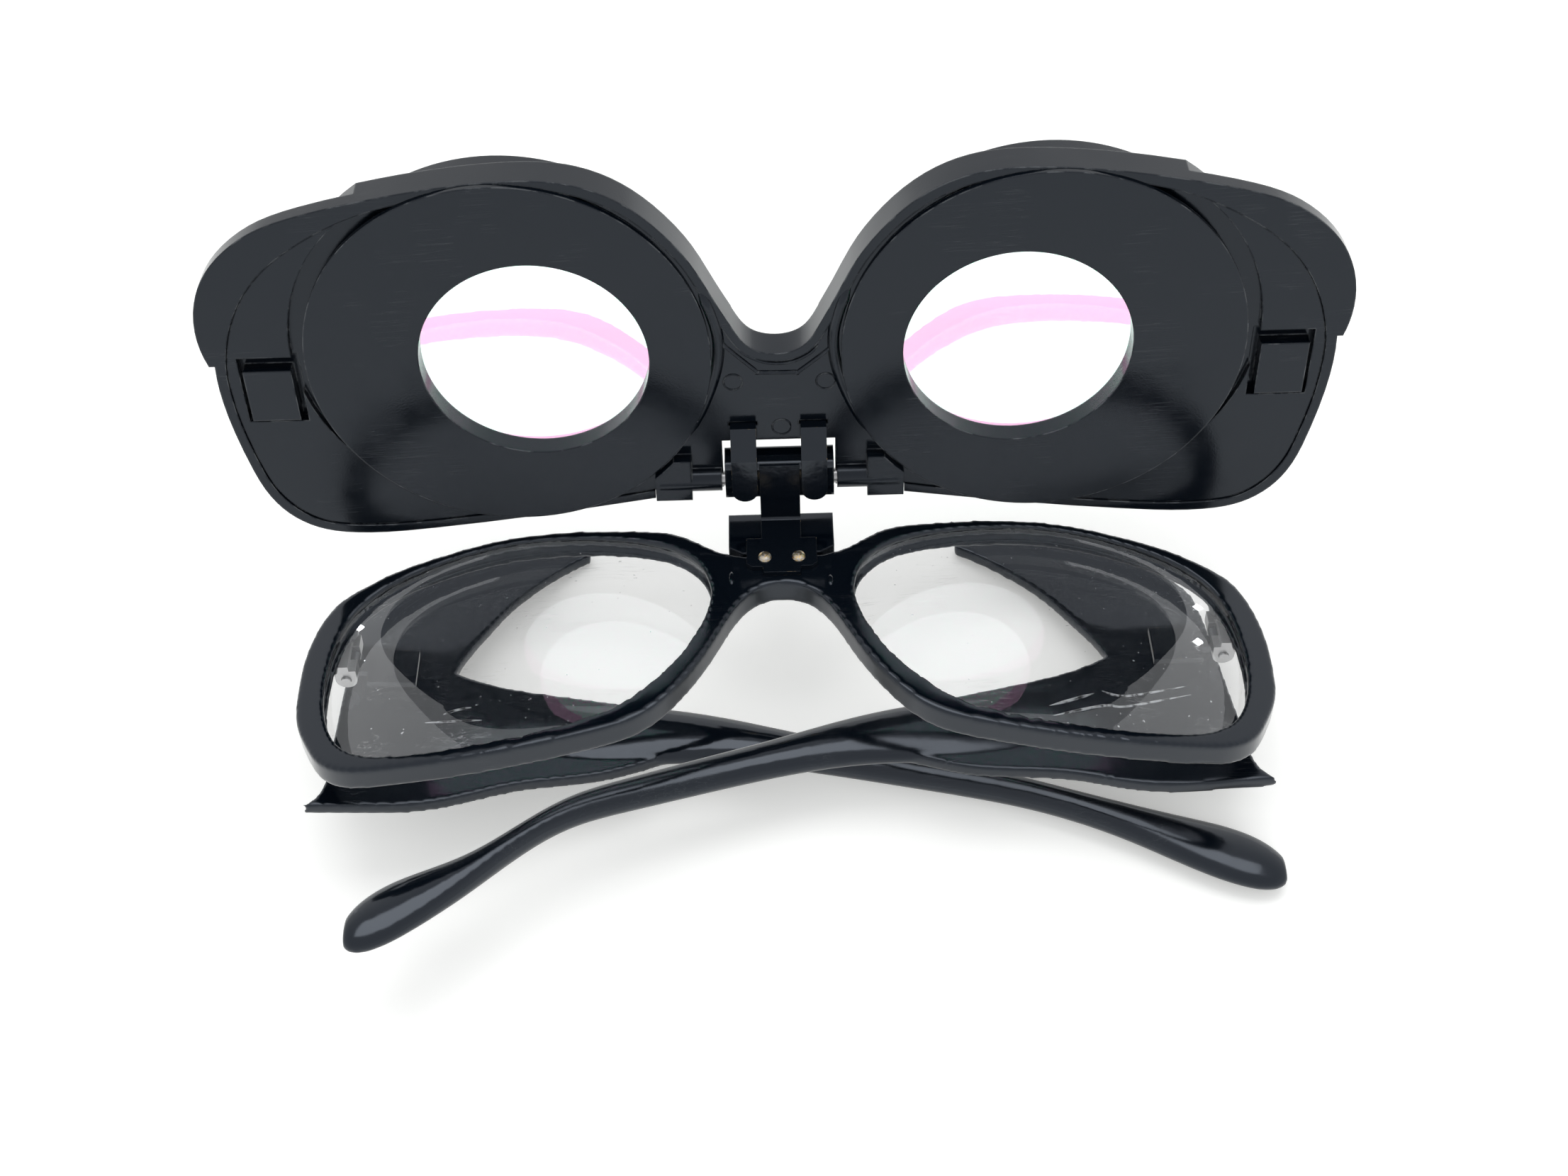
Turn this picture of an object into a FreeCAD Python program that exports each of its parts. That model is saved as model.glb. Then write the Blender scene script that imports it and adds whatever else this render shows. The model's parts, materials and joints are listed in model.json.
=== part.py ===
"""Spectacle-frame goggles with a flip-up round-lens front, folded and lying face up.

Front frame: X across the face, Y towards the brow, Z out of the front face; its origin is the
middle of the bridge's front face.  The flip front is drawn shut (X across, Y up the face, Z out)
about its hinge axis, and each temple folded, about its own hinge axis.
"""
import FreeCAD, Part
import math
import os

from FreeCAD import Placement, Rotation, Vector

SIZES = {
    # front frame
    "frame_half_width": 69.6,
    "frame_depth": 4.0,
    "wrap_radius": 300.0,
    "lens_base_radius": 112.0,
    "lens_thickness": 1.8,
    "lens_bulge": 1.2,
    "lens_tuck": 0.6,
    "seat_clearance": 0.04,
    # bridge bracket, cam and hinge pin
    "hinge_up": 11.0,
    "hinge_out": 6.3,
    "strip_width": 5.8,
    "sheet": 0.5,
    "plate_width": 10.2,
    "rivet_pitch": 4.9,
    "rivet_radius": 0.7,
    "rivet_head": 1.0,
    "cam_width": 15.8,
    "cam_side": 4.6,
    "cam_rise": 4.5,
    "cam_round": 1.0,
    "pin_radius": 1.1,
    "pin_length": 33.0,
    "running_clearance": 0.05,
    # flip front
    "flip_half_width": 79.9,
    "flip_rim": 1.4,
    "back_plate": 1.6,
    "back_step": 0.25,
    "wing_depth": 2.4,
    "cup_spacing": 74.6,
    "cup_up": 22.6,
    "cup_radius": 31.5,
    "cup_depth": 5.0,
    "cup_wall_top": 51.1,
    "disc_radius": 28.25,
    "disc_thickness": 3.1,
    "disc_flange": 0.87,
    "spigot_radius": 24.0,
    "aperture_radius": 16.0,
    "aperture_inset": 3.6,
    "filter_radius": 25.0,
    "filter_thickness": 2.2,
    "cover_glass_thickness": 1.6,
    "gasket_thickness": 0.5,
    "lens_clearance": 0.25,
    "lens_sight_radius": 23.3,
    "boss_wall": 1.35,
    "boss_height": 2.0,
    "ring_wall": 1.34,
    "ring_lip": 0.8,
    "window_width": 16.4,
    "window_top": 6.8,
    # temples
    "end_hinge_half": 64.5,
    "end_hinge_back": 14.2,
    "end_hinge_down": 4.5,
    "knuckle_radius": 1.6,
    "knuckle_length": 2.4,
    "knuckle_gap": 0.1,
    "screw_radius": 0.7,
    "shield_thickness": 2.0,
    "shield_drop": 1.8,
    "temple_length": 135.5,
    "rod_thickness": 4.2,
    "left_fold_slack": 4.5,
    "right_fold_slack": 1.0,
    "right_droop": 4.0,
    "right_tip_drop": 3.0,
    "right_tip_draw": 8.8,
    # pose on the table
    "flip_open": 93.0,
    "rest_pitch": -12.14,
    "rest_roll": 2.35,
}

LEFT, RIGHT = -1, 1
SIDES = {"left": LEFT, "right": RIGHT}

doc = FreeCAD.newDocument("FlipFrontGoggles")
sheet = doc.addObject("Spreadsheet::Sheet", "Sizes")
for row, (alias, value) in enumerate(SIZES.items(), start=1):
    sheet.set("A%d" % row, alias)
    sheet.set("B%d" % row, str(value))
    sheet.setAlias("B%d" % row, alias)
doc.recompute()

pieces = {}


def size(alias):
    """A driving dimension, read from the sheet."""
    return float(sheet.get(alias))


# ---------------------------------------------------------------- outlines

def mirrored(points):
    """Close a half outline drawn at +X with its reflection; ends on X = 0 are kept once."""
    return points + [(-x, y) for x, y in reversed(points) if x > 1e-6]


def scaled(points, factor):
    return [(x * factor, y) for x, y in points]


def offset(points, distance):
    """Closed outline moved outwards (clockwise points) by a distance."""
    moved = []
    count = len(points)
    for i, (x, y) in enumerate(points):
        (ax, ay), (bx, by) = points[i - 1], points[(i + 1) % count]
        dx, dy = bx - ax, by - ay
        length = math.hypot(dx, dy)
        moved.append((x - dy / length * distance, y + dx / length * distance))
    return moved


def smooth_loop(points):
    curve = Part.BSplineCurve()
    curve.interpolate([Vector(x, y, 0) for x, y in points], PeriodicFlag=True)
    return [curve]


def runs(*stretches):
    """Curves joined end to end: two points make a line, more make a spline."""
    curves = []
    for stretch in stretches:
        points = [Vector(x, y, 0) for x, y in stretch]
        if len(points) == 2:
            curves.append(Part.LineSegment(*points))
            continue
        curve = Part.BSplineCurve()
        curve.interpolate(points)
        curves.append(curve)
    return curves


def polygon(points):
    return runs(*[[points[i - 1], points[i]] for i in range(len(points))])


def rectangle(left, bottom, right, top):
    return polygon([(left, bottom), (right, bottom), (right, top), (left, top)])


def circle(x, y, radius):
    return [Part.Circle(Vector(x, y, 0), Vector(0, 0, 1), radius)]


# ---------------------------------------------------------------- document helpers

def body(label):
    made = doc.addObject("PartDesign::Body", label)
    made.Label = label
    return made


def origin_plane(owner, role):
    return next(f for f in owner.Origin.OriginFeatures if f.Role == role)


def sketch(owner, curves, level="0", role="XY_Plane"):
    """Sketch on one of the body's planes, raised along its normal by an expression."""
    drawn = owner.newObject("Sketcher::SketchObject", owner.Name + "_sketch")
    drawn.AttachmentSupport = [(origin_plane(owner, role), "")]
    drawn.MapMode = "FlatFace"
    drawn.setExpression("AttachmentOffset.Base.z", level)
    for curve in curves:
        drawn.addGeometry(curve, False)
    return drawn


def pad(owner, curves, height, level="0", role="XY_Plane", centred=False):
    """Add material from a sketch, upwards by an expression."""
    feature = owner.newObject("PartDesign::Pad", owner.Name + "_pad")
    feature.Profile = sketch(owner, curves, level, role)
    feature.setExpression("Length", height)
    feature.Midplane = centred
    doc.recompute()
    return feature


def pocket(owner, curves, depth, level="0", role="XY_Plane", centred=False):
    """Cut a sketch out of the body, upwards from its level by an expression."""
    before = owner.Shape.Volume
    feature = owner.newObject("PartDesign::Pocket", owner.Name + "_pocket")
    feature.Profile = sketch(owner, curves, level, role)
    feature.setExpression("Length", depth)
    feature.Reversed = True
    feature.Midplane = centred
    doc.recompute()
    if not owner.Shape.Volume < before - 1e-6:
        raise ValueError("%s: a pocket cut nothing" % owner.Label)
    return feature


def revolve(owner, points, role="XZ_Plane"):
    """Revolve a half section (radius, height) about the body's Z axis."""
    feature = owner.newObject("PartDesign::Revolution", owner.Name + "_turned")
    feature.Profile = sketch(owner, polygon(points), "0", role)
    feature.ReferenceAxis = (feature.Profile[0], ["V_Axis"])
    feature.Angle = 360.0
    doc.recompute()
    return feature


def bind(made, **expressions):
    for name, expression in expressions.items():
        made.setExpression(name, expression)


def box(label, corner, extent):
    made = doc.addObject("Part::Box", label)
    made.Length, made.Width, made.Height = extent
    made.Placement.Base = Vector(*corner)
    return made


def cylinder(label, base, direction, radius, height):
    """Cylinder whose radius and height are expressions."""
    made = doc.addObject("Part::Cylinder", label)
    bind(made, Radius=radius, Height=height)
    made.Placement = Placement(Vector(*base), Rotation(Vector(0, 0, 1), Vector(*direction)))
    return made


def sphere(label, centre, radius):
    made = doc.addObject("Part::Sphere", label)
    bind(made, Radius=radius)
    made.Placement.Base = Vector(*centre)
    return made


def cut(label, base, tool):
    made = doc.addObject("Part::Cut", label)
    made.Base, made.Tool = base, tool
    return made


def common(label, base, tool):
    made = doc.addObject("Part::Common", label)
    made.Base, made.Tool = base, tool
    return made


def fuse(label, *shapes):
    made = doc.addObject("Part::MultiFuse", label)
    made.Shapes = list(shapes)
    made.Refine = True
    return made


def rounded(label, base, radius, wanted):
    """Fillet the edges that a test on their mid point and length picks out."""
    doc.recompute()
    chosen = [i for i, edge in enumerate(base.Shape.Edges, start=1) if wanted(edge)]
    if not chosen:
        raise ValueError("%s: no edge to round" % label)
    made = doc.addObject("Part::Fillet", label)
    made.Base = base
    made.Edges = [(i, radius, radius) for i in chosen]
    return made


def keep(name, made, group):
    """Register a finished sub-part under its node name."""
    made.Label = name
    pieces[name] = (made, group)
    return made


def middle(edge):
    return edge.valueAt((edge.FirstParameter + edge.LastParameter) / 2)


# ---------------------------------------------------------------- front frame

FRAME_TOP = [(0, 1.0), (5.8, 1.3), (9.6, 2.7), (12.2, 4.6), (15.7, 6.7), (21.6, 7.9), (27.9, 8.7),
             (35.2, 9.2), (43.1, 8.8), (50.9, 7.3), (57.2, 5.6), (62.2, 3.3), (66.0, 0.5),
             (68.3, -4.0), (69.5, -10), (69.6, -16), (68.9, -21.8), (67.1, -26.0), (64.7, -29.8),
             (61.3, -32.0), (57, -32.8), (51, -33.1), (45, -33.0), (39, -32.6), (32.5, -31.8),
             (26, -30.6), (22.2, -29.5), (18.4, -27.3), (14.5, -23.0), (10.6, -16.8),
             (8.0, -11.4), (5.6, -7.4), (3.0, -5.2), (0, -4.5)]
LENS_OPENING = [(11.3, -1.2), (12.9, 1.2), (15.4, 3.4), (19, 5.1), (23.2, 6.2), (29.6, 7.2),
                (34, 7.6), (38.1, 7.7), (42.4, 7.4), (46.7, 6.7), (51, 5.6), (57.2, 3.3),
                (61, 0.7), (63, -1.7), (64.3, -4.7), (65.2, -8.3), (65.6, -12.4), (65.6, -16.5),
                (65.2, -20), (64.4, -23), (63.2, -25.7), (61.6, -27.8), (59.7, -29.2),
                (57.6, -30.1), (54.5, -30.7), (51, -31), (47.3, -31), (43.4, -30.8),
                (39.5, -30.4), (35.6, -29.9), (31.7, -29.2), (27.9, -28.2), (23.3, -26.3),
                (19.1, -22.9), (16, -19.5), (12.7, -14.1), (10.7, -8.8), (10.3, -6.3),
                (10.5, -3.8)]
OUTLINE_HALF_WIDTH = 69.6
DRAWN_DEPTH = "30"


def frame_scale():
    return size("frame_half_width") / OUTLINE_HALF_WIDTH


def frame_surface(x):
    """Height of the wrapped front face at x."""
    radius = size("wrap_radius")
    return -(radius - math.sqrt(radius * radius - x * x))


def wrap_shell(label):
    """Curved slab from which the frame is cut: a ring about an axis along Y."""
    centre = -size("wrap_radius")
    outer = cylinder(label + "_outer", (0, -100, centre), (0, 1, 0), "Sizes.wrap_radius", "200")
    inner = cylinder(label + "_inner", (0, -110, centre), (0, 1, 0),
                     "Sizes.wrap_radius - Sizes.frame_depth", "220")
    return cut(label, outer, inner)


def opening(side, grow):
    points = [(side * x, y) for x, y in scaled(LENS_OPENING, frame_scale())]
    if side < 0:
        points.reverse()
    return offset(points, grow)


def lens_shell(label, side, gap):
    """Spherical shell of the clear lens, grown on both faces by a gap."""
    middle_x = 37.5 * frame_scale()
    lean = math.asin(middle_x / size("wrap_radius"))
    normal = Vector(side * math.sin(lean), 0, math.cos(lean))
    apex = Vector(side * middle_x, -12.0, frame_surface(middle_x)) + normal * size("lens_bulge")
    centre = apex - normal * size("lens_base_radius")
    front = sphere(label + "_front", centre, "Sizes.lens_base_radius + %s" % gap)
    back = sphere(label + "_back", centre, "Sizes.lens_base_radius - Sizes.lens_thickness - %s" % gap)
    return cut(label + "_shell", front, back)


def lens_blank(label, side, gap, grow):
    """The part of the lens shell within the opening, grown by a gap all round."""
    outline = body(label + "_outline")
    pad(outline, smooth_loop(opening(side, grow)), DRAWN_DEPTH, "-22")
    return common(label, lens_shell(label, side, gap), outline)


def make_front_frame():
    blank = body("frame_blank")
    pad(blank, smooth_loop(mirrored(scaled(FRAME_TOP, frame_scale()))), DRAWN_DEPTH, "-25")
    for side in SIDES.values():
        pocket(blank, smooth_loop(opening(side, 0)), DRAWN_DEPTH, "-25")
    slab = fuse("frame_and_ends", wrap_shell("frame_slab"),
                *[end_boss("end_boss", side) for side in SIDES.values()])
    wrapped = common("frame_wrapped", slab, blank)
    seats = [lens_blank("lens_seat_%s" % name, side, "Sizes.seat_clearance",
                        size("lens_tuck") + size("seat_clearance"))
             for name, side in SIDES.items()]
    leaf_seats = [leaf_plate("leaf_seat_%s" % name, side, size("seat_clearance"))
                  for name, side in SIDES.items()]
    rivet_holes = [cylinder("rivet_hole", (x, 0, -10), (0, 0, 1),
                            "Sizes.rivet_radius + Sizes.seat_clearance", "20")
                   for x in rivet_places()]
    keep("front_frame", cut("front_frame", wrapped,
                            fuse("frame_cuts", *seats, *leaf_seats, *rivet_holes)), "front")
    for name, side in SIDES.items():
        keep("clear_lens_" + name, lens_blank("clear_lens_" + name, side, "0", size("lens_tuck")),
             "front")


# ---------------------------------------------------------------- end hinges

LEAF_DEPTH, LEAF_WIDTH, LEAF_SHIFT = 0.9, 3.0, 0.9
BOSS_BACK, BOSS_DEPTH = 0.4, 3.0
KNUCKLE_STANDOFF = 0.2


def knuckle(label, centre_y, length):
    """Hinge knuckle about the local Y axis."""
    half = length / 2
    return cylinder(label, (0, centre_y - half, 0), (0, 1, 0), "Sizes.knuckle_radius", str(length))


def frame_knuckle_places():
    step = size("knuckle_length") + size("knuckle_gap")
    down = -size("end_hinge_down")
    return [down - step, down + step]


def leaf_back():
    """Depth of the front leaf's rear face behind the bridge."""
    return size("end_hinge_back") - size("knuckle_radius") - KNUCKLE_STANDOFF


def leaf_span():
    return 3 * size("knuckle_length") + 2 * size("knuckle_gap")


def leaf_plate(label, side, grow):
    """Root of the front leaf, let into the back of the frame's end."""
    half = LEAF_WIDTH / 2 + grow
    middle_x = side * (size("end_hinge_half") + LEAF_SHIFT)
    low = -size("end_hinge_down") - leaf_span() / 2 - grow
    return box(label, (middle_x - half, low, -leaf_back() - 4 * grow),
               (2 * half, leaf_span() + 2 * grow, LEAF_DEPTH + 5 * grow))


def end_boss(label, side):
    """Thicker end of the front frame, behind which the hinge leaf sits."""
    half = LEAF_WIDTH / 2 + 1.4
    middle_x = side * (size("end_hinge_half") + LEAF_SHIFT + 0.6)
    low = -size("end_hinge_down") - leaf_span() / 2 - 1.2
    return box(label, (middle_x - half, low, BOSS_BACK - leaf_back()),
               (2 * half, leaf_span() + 2.4, BOSS_DEPTH))


def at_end_hinge(made, side):
    """Move a shape drawn about the local Y axis to the end hinge axis."""
    made.Placement.Base = made.Placement.Base + Vector(side * size("end_hinge_half"), 0,
                                                       -size("end_hinge_back"))
    return made


def pin_hole(label, side, grow="Sizes.running_clearance"):
    return at_end_hinge(cylinder(label, (0, -40, 0), (0, 1, 0), "Sizes.screw_radius + " + grow,
                                 "80"), side)


def make_front_leaf(name, side):
    radius = size("knuckle_radius")
    length = size("knuckle_length")
    parts = [leaf_plate("leaf_root_" + name, side, 0)]
    for place in frame_knuckle_places():
        parts.append(at_end_hinge(knuckle("leaf_knuckle", place, length), side))
        parts.append(at_end_hinge(box("leaf_web", (-radius, place - length / 2, 0),
                                      (2 * radius, length, radius + KNUCKLE_STANDOFF)),
                                  side))
    keep("front_hinge_leaf_" + name,
         cut("front_hinge_leaf_" + name, fuse("leaf_body_" + name, *parts),
             pin_hole("leaf_bore_" + name, side)), "front")


def make_hinge_screw(name, side):
    top = -size("end_hinge_down") + 1.5 * size("knuckle_length") + size("knuckle_gap")
    bottom = top - 3 * size("knuckle_length") - 2 * size("knuckle_gap") - 0.4
    shank = cylinder("screw_shank", (0, bottom, 0), (0, 1, 0), "Sizes.screw_radius",
                     str(top - bottom))
    head = cylinder("screw_head", (0, top, 0), (0, 1, 0), "Sizes.knuckle_radius - 0.3", "0.7")
    slot = box("screw_slot", (-2, top + 0.35, -0.18), (4, 1, 0.36))
    for made in (shank, head, slot):
        at_end_hinge(made, side)
    keep("hinge_screw_" + name, cut("hinge_screw_" + name, fuse("screw_" + name, shank, head), slot),
         "front")


# ---------------------------------------------------------------- bridge bracket, cam and pin

def rivet_places():
    return [-size("rivet_pitch") / 2, size("rivet_pitch") / 2]


def strip_face():
    """Y of the strip's upright, its brow side against the cam."""
    return size("hinge_up") - size("cam_side") / 2


def make_bracket():
    made = body("hinge_bracket")
    sheet_thick = size("sheet")
    face = strip_face()
    top = size("hinge_out") + size("cam_rise") + 0.15
    bend = 1.0
    inner = bend - sheet_thick
    half_turn = math.sqrt(0.5)
    corner = (face - bend, bend)
    upright = [Part.LineSegment(Vector(-1.9, 0, 0), Vector(corner[0], 0, 0)),
               Part.Arc(Vector(corner[0], 0, 0),
                        Vector(corner[0] + bend * half_turn, bend - bend * half_turn, 0),
                        Vector(face, bend, 0)),
               Part.LineSegment(Vector(face, bend, 0), Vector(face, top, 0)),
               Part.LineSegment(Vector(face, top, 0), Vector(face - sheet_thick, top, 0)),
               Part.LineSegment(Vector(face - sheet_thick, top, 0),
                                Vector(face - sheet_thick, bend, 0)),
               Part.Arc(Vector(face - sheet_thick, bend, 0),
                        Vector(corner[0] + inner * half_turn, bend - inner * half_turn, 0),
                        Vector(corner[0], sheet_thick, 0)),
               Part.LineSegment(Vector(corner[0], sheet_thick, 0), Vector(-1.9, sheet_thick, 0)),
               Part.LineSegment(Vector(-1.9, sheet_thick, 0), Vector(-1.9, 0, 0))]
    pad(made, upright, "Sizes.strip_width", role="YZ_Plane", centred=True)
    half = size("plate_width") / 2
    pad(made, polygon([(-half, -1.2), (-half + 0.8, -1.9), (-2.8, -1.9), (-2.6, -3.1), (2.6, -3.1),
                       (2.8, -1.9), (half - 0.8, -1.9), (half, -1.2), (half, 3.9), (-half, 3.9)]),
        "Sizes.sheet + 0.2")
    for x in rivet_places():
        pocket(made, circle(x, 0, size("rivet_radius") + size("seat_clearance")), "3", "-1")
    keep("hinge_bracket", made, "front")


PLATE_GAP, PLATE_THICK = 0.05, 0.6


def make_rivets():
    """Two domed rivets clench the bracket and the backing plate to the bridge."""
    top = size("sheet") + 0.2
    back = -size("frame_depth") - PLATE_GAP - PLATE_THICK
    radius = size("rivet_radius")
    head = size("rivet_head")
    parts = []
    for x in rivet_places():
        turned = body("rivet")
        revolve(turned, [(0, back - 0.4), (head * 0.7, back - 0.4), (head * 0.95, back),
                         (radius, back), (radius, top), (head, top), (head * 0.86, top + 0.32),
                         (head * 0.5, top + 0.56), (0, top + 0.62)])
        turned.Placement.Base = Vector(x, 0, 0)
        parts.append(turned)
    made = doc.addObject("Part::Compound", "rivets")
    made.Links = parts
    keep("rivets", made, "front")


def make_backing_plate():
    made = body("backing_plate")
    half = size("rivet_pitch") / 2 + 1.7
    pad(made, rectangle(-half, -1.6, half, 1.1), str(PLATE_THICK),
        str(-size("frame_depth") - PLATE_GAP - PLATE_THICK))
    for x in rivet_places():
        pocket(made, circle(x, 0, size("rivet_radius") + size("seat_clearance")), "4",
               "-Sizes.frame_depth - 2")
    keep("backing_plate", made, "front")


def make_bridge_block():
    """Moulded block that fills the gap between bridge and bracket strip."""
    made = body("bridge_block")
    half = size("cam_width") / 2 - 0.2
    top = strip_face() + 1.0
    pad(made, polygon([(-half, top), (half, top), (half, 2.9), (5.6, 1.55), (-5.6, 1.55),
                       (-half, 2.9)]), "3.4", "-3.4")
    keep("bridge_block", made, "front")


def make_cam():
    side = size("cam_side")
    half = size("cam_width") / 2
    up, out = size("hinge_up"), size("hinge_out")
    block = box("cam_blank", (-half, up - side / 2, out - side / 2), (2 * half, side, side))
    bind(block, Length="Sizes.cam_width", Width="Sizes.cam_side",
         Height="Sizes.cam_side / 2 + Sizes.cam_rise")
    block = rounded("cam_rounded", block, size("cam_round"), lambda e: abs(e.Length - 2 * half) < 0.01)
    bore = cylinder("cam_bore", (-50, up, out), (1, 0, 0), "Sizes.pin_radius + 0.01", "100")
    keep("hinge_cam", cut("hinge_cam", block, bore), "front")
    pin = cylinder("hinge_pin", (-size("pin_length") / 2, up, out), (1, 0, 0), "Sizes.pin_radius",
                   "Sizes.pin_length")
    keep("hinge_pin", pin, "front")


# ---------------------------------------------------------------- flip front

FLIP_DRAWN_HALF_WIDTH = 79.9
FLIP_EDGE = [(0, 22.2), (3.6, 23.3), (6.0, 26.8), (7.9, 30.6), (11.3, 37.6), (14.4, 42.0),
             (18.3, 46.0), (22.9, 49.0), (28.2, 50.7), (34.9, 51.1), (44.7, 50.3), (54.7, 48.6),
             (63.2, 46.6), (69.0, 44.5), (73.5, 41.5), (77.0, 37.6), (79.2, 32.8), (79.9, 27.6),
             (79.1, 22.6)]
FLIP_SIDE = [(78.3, 22.6), (78.4, 17.5), (77.8, 11.5), (76.6, 5.0), (75.2, 0.0), (72.6, -4.4),
             (68.4, -7.4), (63.2, -8.5), (52.3, -8.1), (35.6, -6.1), (18.9, -3.5), (12.8, -2.6)]
BACK_NOTCH = [(0, 20.8), (4.3, 22.1), (7.2, 26.2), (9.1, 30.0), (12.4, 36.9), (15.4, 41.0),
              (19.2, 44.8), (23.7, 47.6), (28.6, 49.2), (35.0, 49.5), (45.5, 48.6), (55.5, 46.2),
              (63.0, 42.5), (69.5, 37.5), (73.8, 31.5), (76.2, 25.0), (76.9, 20.5)]
BACK_SIDE = [(76.9, 20.5), (76.4, 11.7), (75.2, 5.3), (73.8, 0.5), (71.5, -3.2), (67.9, -6.0),
             (63.0, -7.0), (52.3, -6.7), (35.6, -4.7), (18.9, -2.1), (17.4, -1.8)]
CATCH = (67.8, 13.1, 74.6, 21.7)
CATCH_GAP = (1.0, 0.5, 0.6, 2.0)
PRONG_INNER, PRONG_OUTER = 3.2, 6.9
CLIP_SLOT = 9.8
SHELF_END = 2.6
LUG_WALL = 0.7


def flip_loop(top, side, grow=0.0):
    """Closed outline of the shut flip from half outlines of (x, height above the hinge).

    The top half outline starts in the nose notch on X = 0; gaps between stretches are closed
    with straight lines. Growing moves the top up, the side down and the far end outwards.
    """
    factor = flip_width_factor()
    right = [[(x * factor + (grow if x > 40 else 0.0), -up - rise) for x, up in half]
             for half, rise in ((top, grow), (side, -grow))]
    left = [[(-x, y) for x, y in reversed(stretch)] for stretch in reversed(right)]
    stretches = left[:-1] + [left[-1] + right[0][1:]] + right[1:]
    loop = []
    for stretch, following in zip(stretches, stretches[1:] + stretches[:1]):
        loop.append(stretch)
        if math.dist(stretch[-1], following[0]) > 1e-6:
            loop.append([stretch[-1], following[0]])
    return runs(*loop)


def flip_width_factor():
    return size("flip_half_width") / FLIP_DRAWN_HALF_WIDTH


def cup_centre(side):
    return side * size("cup_spacing") / 2, -size("cup_up")


def both_sides(x_near, x_far):
    """The same stretch of X on the left and on the right, each in rising order."""
    return [sorted((side * x_near, side * x_far)) for side in SIDES.values()]


def back_plate_stock(label, height, level, grow=0.0):
    made = body(label)
    pad(made, flip_loop(BACK_NOTCH, BACK_SIDE, grow), height, level)
    return made


def window(made):
    half = size("window_width") / 2
    pocket(made, rectangle(-half, -size("window_top"), half, 9), "20", "-5")


def lug_top():
    return size("pin_radius") + LUG_WALL


def make_flip_back():
    """Rear plate of the flip, with the barrels that turn on the hinge pin."""
    made = back_plate_stock("back_plate_stock", "Sizes.back_plate", "Sizes.back_step")
    for side in SIDES.values():
        x, y = cup_centre(side)
        pocket(made, circle(x, y, size("spigot_radius") + 0.4), "10", "-5")
        pocket(made, circle(x + side * 2.2, y - 1.5, size("disc_radius") - 0.25),
               "Sizes.back_plate - 0.6", "Sizes.back_step")
    near, low, far, high = CATCH
    spare_near, spare_low, spare_far, spare_high = CATCH_GAP
    factor = flip_width_factor()
    for left, right in both_sides(near * factor - spare_near, far * factor + spare_far):
        pocket(made, rectangle(left, -high - spare_high, right, -low + spare_low), "10", "-5")
    window(made)
    for left, right in both_sides(PRONG_INNER - 0.2, PRONG_OUTER + 0.2):
        pocket(made, rectangle(left, -CLIP_SLOT - 0.35, right, -CLIP_SLOT + 0.35), "10", "-5")
    inner = size("window_width") / 2 + 0.2
    reach = size("pin_length") / 2 + 1.0
    lug_start = 12.8
    parts = [made]
    for start, end in both_sides(inner, reach):
        parts.append(cylinder("lug_barrel", (start, 0, 0), (1, 0, 0), "Sizes.pin_radius + %s" % LUG_WALL,
                              str(end - start)))
    for start, end in both_sides(lug_start, reach + 0.6):
        parts.append(box("lug_block", (start, -4.5, -1.7), (end - start, 7.1, 1.7 + lug_top())))
    bore = cylinder("lug_bore", (0.8 - reach, 0, 0), (1, 0, 0),
                    "Sizes.pin_radius + Sizes.running_clearance", str(2 * reach - 1.6))
    room = [cylinder("disc_room", (*cup_centre(side), -5), (0, 0, 1), "Sizes.disc_radius + 0.25",
                     "Sizes.back_step + 4.97") for side in SIDES.values()]
    keep("flip_back_plate", cut("flip_back_plate", fuse("back_plate_and_lugs", *parts),
                                fuse("plate_cuts", bore, *room)), "flip")


def stack_level():
    """Depth at which the glass stack starts inside a cup."""
    return SHELF_END + 0.02


def boss_top():
    return size("cup_depth") + size("boss_height")


def cup_core(label, side):
    """Inside of one cup: bore for the disc's spigot, lens shelf and lens bore."""
    x, y = cup_centre(side)
    sight = size("spigot_radius") + 0.25
    bore = size("filter_radius") + size("lens_clearance")
    made = body(label)
    revolve(made, [(0, -2), (sight, -2), (sight, SHELF_END), (bore, SHELF_END),
                   (bore, boss_top() + 5), (0, boss_top() + 5)])
    made.Placement.Base = Vector(x, y, 0)
    return made


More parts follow.
